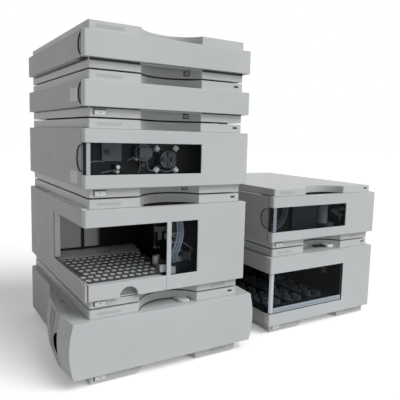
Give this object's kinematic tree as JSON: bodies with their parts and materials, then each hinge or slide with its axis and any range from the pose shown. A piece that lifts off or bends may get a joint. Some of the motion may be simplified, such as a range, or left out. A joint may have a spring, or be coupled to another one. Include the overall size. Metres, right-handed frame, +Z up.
{
  "type": "liquid chromatography system",
  "caption": "Bench liquid chromatography system: stacked light grey instrument units with pull-off front covers, smoked windows and an open sampler.",
  "frame": {"origin": "centre of the whole system's footprint, on the bench", "axes": "+X to the right along the two stacks, +Y from the front covers to the rear, +Z up"},
  "size_m": [0.8258, 0.4782, 0.655],
  "materials": {
    "cover_plastic": "fine satin moulding",
    "strip_plastic": "fine satin moulding",
    "panel_plastic": "fine satin moulding",
    "button_plastic": "smooth",
    "tray_plastic": "smooth",
    "valve_plastic": "smooth",
    "dark_plastic": "satin",
    "smoked_window": "polished smoked acrylic",
    "lamp_lens": "polished",
    "foot_rubber": "matt",
    "chassis_metal": "powder coat",
    "room_metal": "powder coat, dark inside",
    "plate_metal": "satin",
    "steel": "turned"
  },
  "bodies": {
    "stacked_units": {"collector_base": "strip_plastic", "collector_chassis": "room_metal", "collector_side_panels": "panel_plastic", "collector_top_cover": "strip_plastic", "cooler_base": "strip_plastic", "cooler_chassis": "chassis_metal", "cooler_side_panels": "panel_plastic", "cooler_top_cover": "strip_plastic", "degasser_base": "strip_plastic", "degasser_chassis": "chassis_metal", "degasser_side_panels": "panel_plastic", "degasser_top_cover": "strip_plastic", "detector_base": "strip_plastic", "detector_chassis": "chassis_metal", "detector_optics": "dark_plastic", "detector_side_panels": "panel_plastic", "detector_top_cover": "strip_plastic", "feet": "foot_rubber", "gradient_valve": "valve_plastic", "pump_base": "strip_plastic", "pump_chassis": "chassis_metal", "pump_front_plate": "plate_metal", "pump_head": "steel", "pump_side_panels": "panel_plastic", "pump_top_cover": "strip_plastic", "rack_tray": "dark_plastic", "sampler_base": "strip_plastic", "sampler_chassis": "room_metal", "sampler_side_panels": "panel_plastic", "sampler_top_cover": "strip_plastic", "sampling_unit": "dark_plastic", "solvent_cabinet_base": "strip_plastic", "solvent_cabinet_chassis": "chassis_metal", "solvent_cabinet_side_panels": "panel_plastic", "solvent_cabinet_top_cover": "strip_plastic", "status_lamps": "lamp_lens", "vial_tray": "tray_plastic"},
    "collector_front_cover": {"collector_front_cover": "cover_plastic"},
    "collector_door": {"collector_door": "smoked_window"},
    "cooler_front_cover": {"cooler_front_cover": "cover_plastic"},
    "degasser_front_cover": {"degasser_front_cover": "cover_plastic"},
    "detector_front_cover": {"detector_front_cover": "cover_plastic", "detector_window": "smoked_window"},
    "pump_front_cover": {"pump_front_cover": "cover_plastic", "pump_window": "smoked_window"},
    "sampler_front_cover": {"sampler_front_cover": "cover_plastic", "sampler_window": "smoked_window"},
    "solvent_cabinet_front_cover": {"solvent_cabinet_front_cover": "cover_plastic"},
    "sampler_drawer": {"sampler_drawer": "tray_plastic"},
    "sampler_carriage": {"sampler_carriage": "dark_plastic"},
    "sampler_gripper": {"sampler_gripper": "dark_plastic"},
    "collector_beam": {"collector_beam": "dark_plastic"},
    "collector_needle_head": {"collector_needle_head": "dark_plastic"},
    "purge_valve_knob": {"purge_valve_knob": "steel"},
    "cooler_power_button": {"cooler_power_button": "button_plastic"},
    "sampler_power_button": {"sampler_power_button": "button_plastic"},
    "pump_power_button": {"pump_power_button": "button_plastic"},
    "degasser_power_button": {"degasser_power_button": "button_plastic"},
    "collector_power_button": {"collector_power_button": "button_plastic"},
    "detector_power_button": {"detector_power_button": "button_plastic"}
  },
  "joints": [
    {"name": "cooler_cover_pull_off", "type": "slide", "parent": "stacked_units", "child": "cooler_front_cover", "axis": [0, -1, 0], "range_m": [0, 0.12]},
    {"name": "sampler_cover_pull_off", "type": "slide", "parent": "stacked_units", "child": "sampler_front_cover", "axis": [0, -1, 0], "range_m": [0, 0.12]},
    {"name": "pump_cover_pull_off", "type": "slide", "parent": "stacked_units", "child": "pump_front_cover", "axis": [0, -1, 0], "range_m": [0, 0.12]},
    {"name": "degasser_cover_pull_off", "type": "slide", "parent": "stacked_units", "child": "degasser_front_cover", "axis": [0, -1, 0], "range_m": [0, 0.12]},
    {"name": "solvent_cabinet_cover_pull_off", "type": "slide", "parent": "stacked_units", "child": "solvent_cabinet_front_cover", "axis": [0, -1, 0], "range_m": [0, 0.12]},
    {"name": "collector_cover_pull_off", "type": "slide", "parent": "stacked_units", "child": "collector_front_cover", "axis": [0, -1, 0], "range_m": [0, 0.12]},
    {"name": "detector_cover_pull_off", "type": "slide", "parent": "stacked_units", "child": "detector_front_cover", "axis": [0, -1, 0], "range_m": [0, 0.12]},
    {"name": "collector_door_swing", "type": "hinge", "parent": "collector_front_cover", "child": "collector_door", "pos_m": [0.3044, -0.20225, 0.0985], "axis": [0, 0, 1], "range_deg": [0, 95]},
    {"name": "cooler_power_press", "type": "slide", "parent": "stacked_units", "child": "cooler_power_button", "axis": [0, 1, 0], "range_m": [0, 0.0025], "stiffness_N_per_m": 400},
    {"name": "sampler_power_press", "type": "slide", "parent": "stacked_units", "child": "sampler_power_button", "axis": [0, 1, 0], "range_m": [0, 0.0025], "stiffness_N_per_m": 400},
    {"name": "pump_power_press", "type": "slide", "parent": "stacked_units", "child": "pump_power_button", "axis": [0, 1, 0], "range_m": [0, 0.0025], "stiffness_N_per_m": 400},
    {"name": "degasser_power_press", "type": "slide", "parent": "stacked_units", "child": "degasser_power_button", "axis": [0, 1, 0], "range_m": [0, 0.0025], "stiffness_N_per_m": 400},
    {"name": "collector_power_press", "type": "slide", "parent": "stacked_units", "child": "collector_power_button", "axis": [0, 1, 0], "range_m": [0, 0.0025], "stiffness_N_per_m": 400},
    {"name": "detector_power_press", "type": "slide", "parent": "stacked_units", "child": "detector_power_button", "axis": [0, 1, 0], "range_m": [0, 0.0025], "stiffness_N_per_m": 400},
    {"name": "sampler_drawer_slide", "type": "slide", "parent": "stacked_units", "child": "sampler_drawer", "axis": [0, -1, 0], "range_m": [0, 0.18]},
    {"name": "sampler_carriage_travel", "type": "slide", "parent": "stacked_units", "child": "sampler_carriage", "axis": [-1, 0, 0], "range_m": [0, 0.165]},
    {"name": "sampler_gripper_lift", "type": "slide", "parent": "sampler_carriage", "child": "sampler_gripper", "axis": [0, 0, -1], "range_m": [0, 0.02]},
    {"name": "collector_beam_travel", "type": "slide", "parent": "stacked_units", "child": "collector_beam", "axis": [-1, 0, 0], "range_m": [0, 0.15]},
    {"name": "collector_needle_travel", "type": "slide", "parent": "collector_beam", "child": "collector_needle_head", "axis": [0, 1, 0], "range_m": [0, 0.12]},
    {"name": "purge_valve_turn", "type": "hinge", "parent": "stacked_units", "child": "purge_valve_knob", "pos_m": [-0.3048, -0.20075, 0.402], "axis": [0, -1, 0], "range_deg": [0, 360]}
  ]
}
